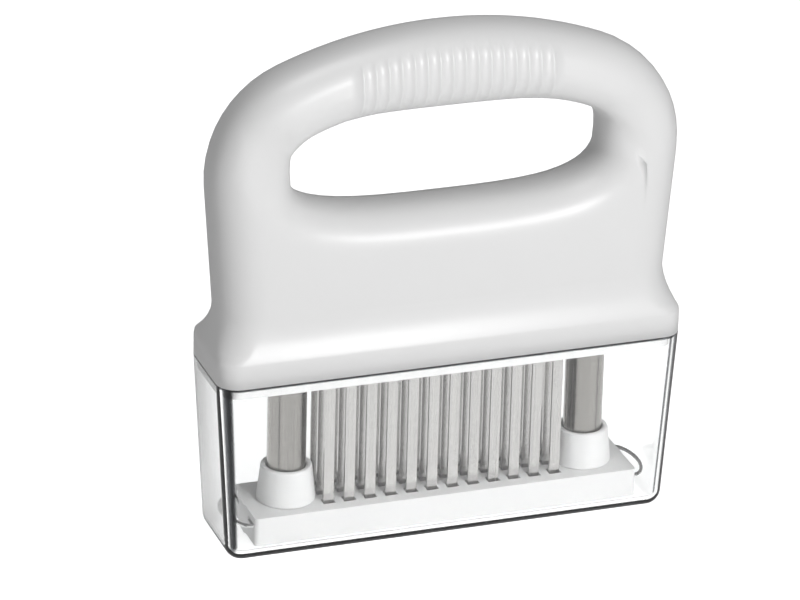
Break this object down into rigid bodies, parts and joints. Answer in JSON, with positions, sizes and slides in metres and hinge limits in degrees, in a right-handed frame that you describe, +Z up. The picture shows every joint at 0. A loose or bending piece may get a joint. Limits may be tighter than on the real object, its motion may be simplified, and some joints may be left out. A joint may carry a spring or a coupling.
{
  "type": "blade meat tenderizer",
  "caption": "Hand meat tenderizer: moulded loop handle, rows of steel strip blades, sprung guard plate on two columns, wire clips and a clear storage cover.",
  "frame": {"origin": "middle of the storage cover's underside, on the table", "axes": "+X to the right along the blade rows, +Y away from the user, +Z up through the handle"},
  "size_m": [0.15, 0.035, 0.165],
  "materials": {
    "handle_plastic": "white moulded ABS, soft gloss",
    "base_plastic": "light grey moulded plastic, satin",
    "guard_plastic": "white moulded plastic, satin",
    "carrier_plastic": "light grey moulded plastic",
    "bush_plastic": "natural acetal, waxy",
    "blade_steel": "stainless strip, fine lengthwise grain",
    "column_steel": "drawn stainless tube, polished along its length",
    "fitting_plastic": "dark grey nylon",
    "wire_steel": "bright spring wire",
    "screw_steel": "plain stainless",
    "cover_clear": "clear polystyrene, polished"
  },
  "bodies": {
    "handle": {"handle_front": "handle_plastic", "handle_rear": "handle_plastic", "base_plate": "base_plastic", "guide_bush_left": "bush_plastic", "guide_bush_right": "bush_plastic", "carrier_front": "carrier_plastic", "carrier_middle": "carrier_plastic", "carrier_rear": "carrier_plastic", "blades_front": "blade_steel", "blades_middle": "blade_steel", "blades_rear": "blade_steel", "base_screws": "screw_steel", "spring_guide_left": "fitting_plastic", "spring_guide_right": "fitting_plastic", "spring_left": "wire_steel", "spring_right": "wire_steel"},
    "guard": {"column_left": "column_steel", "column_right": "column_steel", "stop_ring_left": "fitting_plastic", "stop_ring_right": "fitting_plastic", "column_foot_left": "fitting_plastic", "column_foot_right": "fitting_plastic", "guard_plate": "guard_plastic", "column_boss_left": "guard_plastic", "column_boss_right": "guard_plastic", "clip_left": "wire_steel", "clip_right": "wire_steel"},
    "cover": {"cover": "cover_clear"}
  },
  "joints": [
    {"name": "guard_press", "type": "slide", "parent": "handle", "child": "guard", "axis": [0, 0, 1], "range_m": [0, 0.03], "stiffness_N_per_m": 500, "springref_m": -0.02, "deforming": ["spring_left", "spring_right"]},
    {"name": "cover_pull", "type": "slide", "parent": "handle", "child": "cover", "axis": [0, 0, -1], "range_m": [0, 0.062]}
  ]
}
